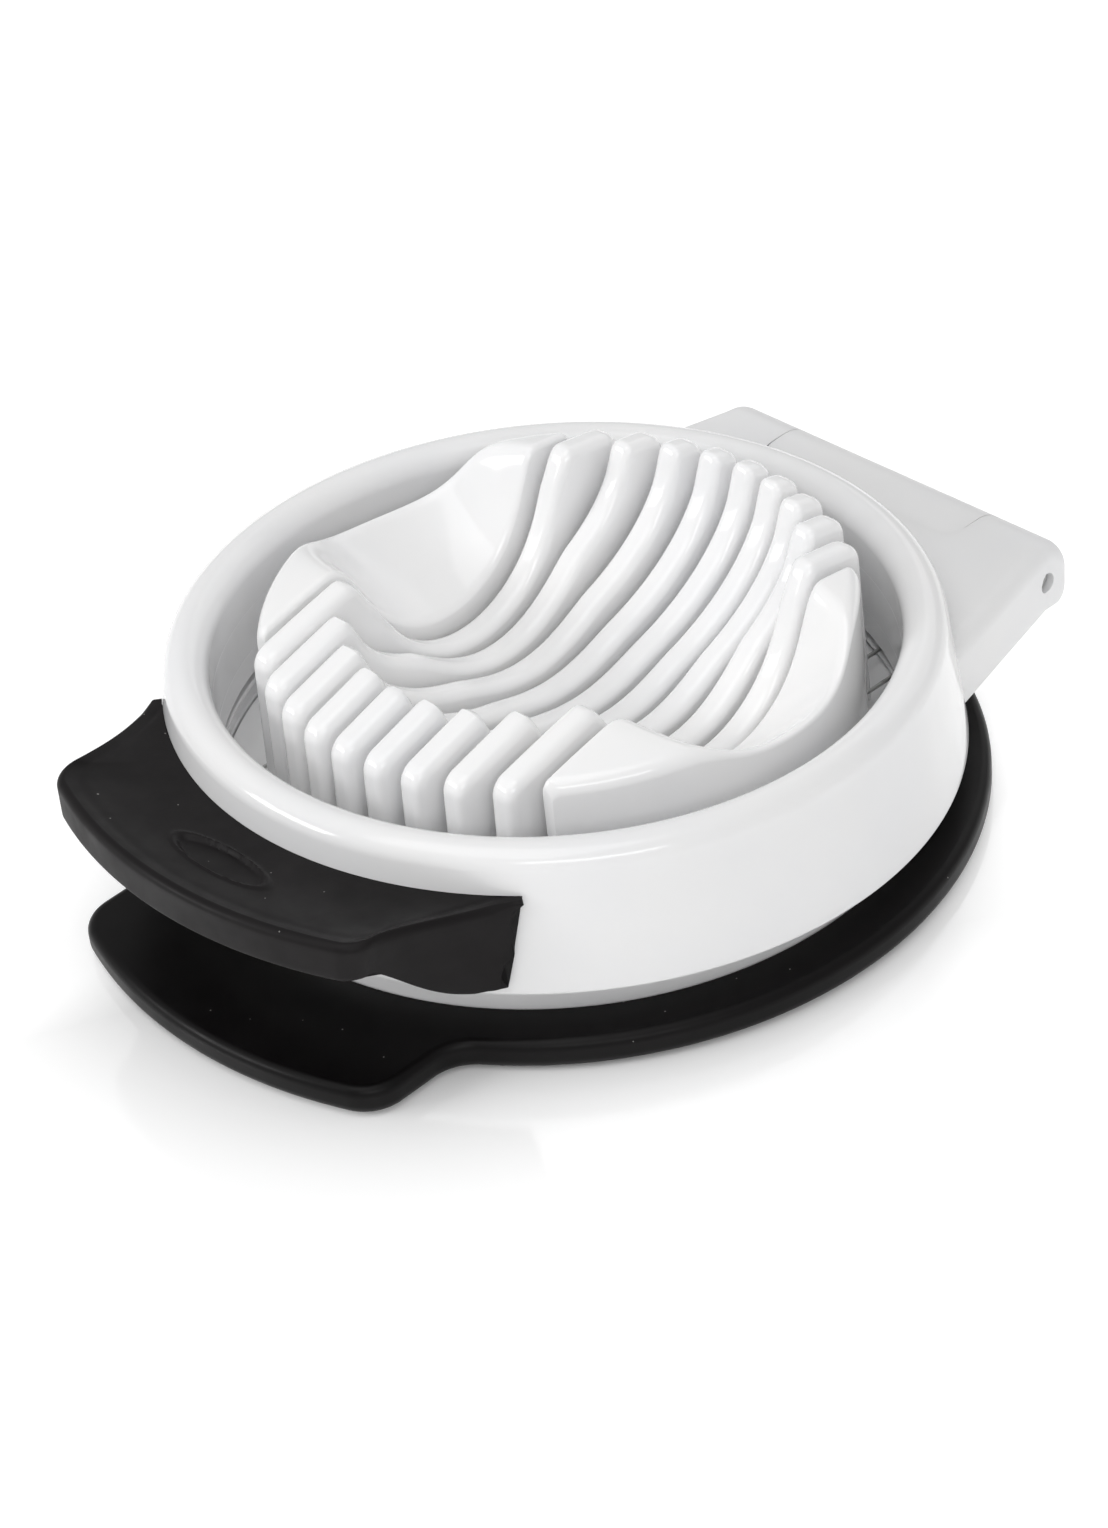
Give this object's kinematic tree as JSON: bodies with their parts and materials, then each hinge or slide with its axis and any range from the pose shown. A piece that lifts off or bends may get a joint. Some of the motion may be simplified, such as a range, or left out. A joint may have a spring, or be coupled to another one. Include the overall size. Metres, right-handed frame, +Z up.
{
  "type": "egg slicer",
  "caption": "Hand-held egg slicer: hinged ring with parallel cutting wires over a slotted egg cradle on a soft round base, with a thumb grip.",
  "frame": {"origin": "on the table, under the centre of the round base, at the middle of its flat underside", "axes": "+Z up; +Y along the wires from the thumb grip towards the hinge; +X along the hinge pin, to the right with the hinge at the back"},
  "size_m": [0.112, 0.136, 0.0333],
  "materials": {
    "white_plastic": "glossy white moulded plastic",
    "black_rubber": "matte black soft-touch rubber",
    "steel": "drawn stainless wire and pin"
  },
  "bodies": {
    "base": {"base_pad": "black_rubber", "base_body": "white_plastic", "egg_cradle": "white_plastic", "cradle_screw_1": "steel", "cradle_screw_2": "steel", "cradle_screw_3": "steel", "cradle_screw_4": "steel"},
    "frame": {"wire_frame": "white_plastic", "wire_retainer": "white_plastic", "grip": "black_rubber", "hinge_pin": "steel", "wire_01": "steel", "wire_02": "steel", "wire_03": "steel", "wire_04": "steel", "wire_05": "steel", "wire_06": "steel", "wire_07": "steel", "wire_08": "steel", "wire_09": "steel", "wire_10": "steel"}
  },
  "joints": [
    {"name": "frame_hinge", "type": "hinge", "parent": "base", "child": "frame", "pos_m": [0, 0.0631, 0.0117], "axis": [-1, 0, 0], "range_deg": [0, 105]}
  ]
}
